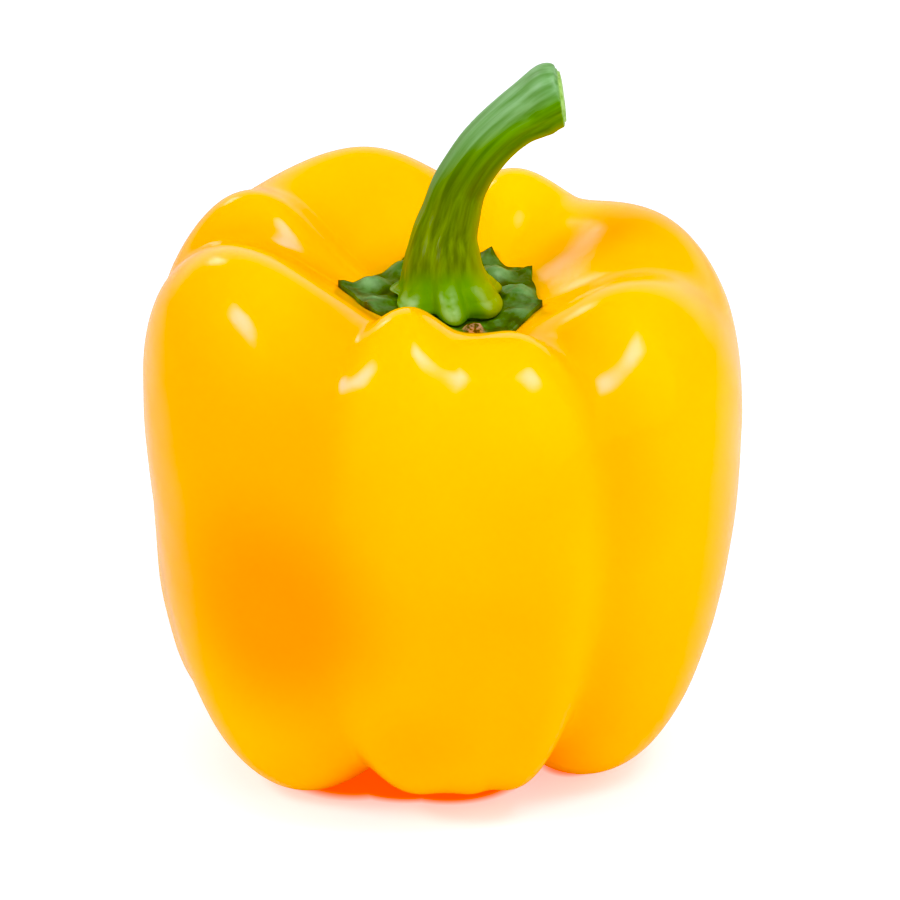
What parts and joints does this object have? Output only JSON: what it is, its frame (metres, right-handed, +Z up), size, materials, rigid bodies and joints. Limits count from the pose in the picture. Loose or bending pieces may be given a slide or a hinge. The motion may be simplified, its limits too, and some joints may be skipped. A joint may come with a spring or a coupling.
{
  "type": "bell pepper",
  "caption": "Blocky yellow bell pepper with rounded lobes, a dark green toothed calyx in the hollow of its top and a curved, ribbed green stem; stands on its lobes.",
  "frame": {"origin": "on the surface that the pepper stands on, under the middle of its bounding box", "axes": "+Z up, from the lobes that it stands on to the stem; -Y towards the side that the picture shows; the stem leans towards +X"},
  "size_m": [0.0854, 0.0858, 0.1027],
  "materials": {
    "pepper_skin": "smooth, waxy, glossy yellow skin, warmer orange in the grooves",
    "calyx_green": "dull dark green, mottled, with dark tooth tips",
    "stem_green": "satin yellow-green with pale bloom, streaks and lighter knuckles"
  },
  "bodies": {
    "root": {"fruit": "pepper_skin", "calyx": "calyx_green", "stem": "stem_green"}
  },
  "joints": []
}
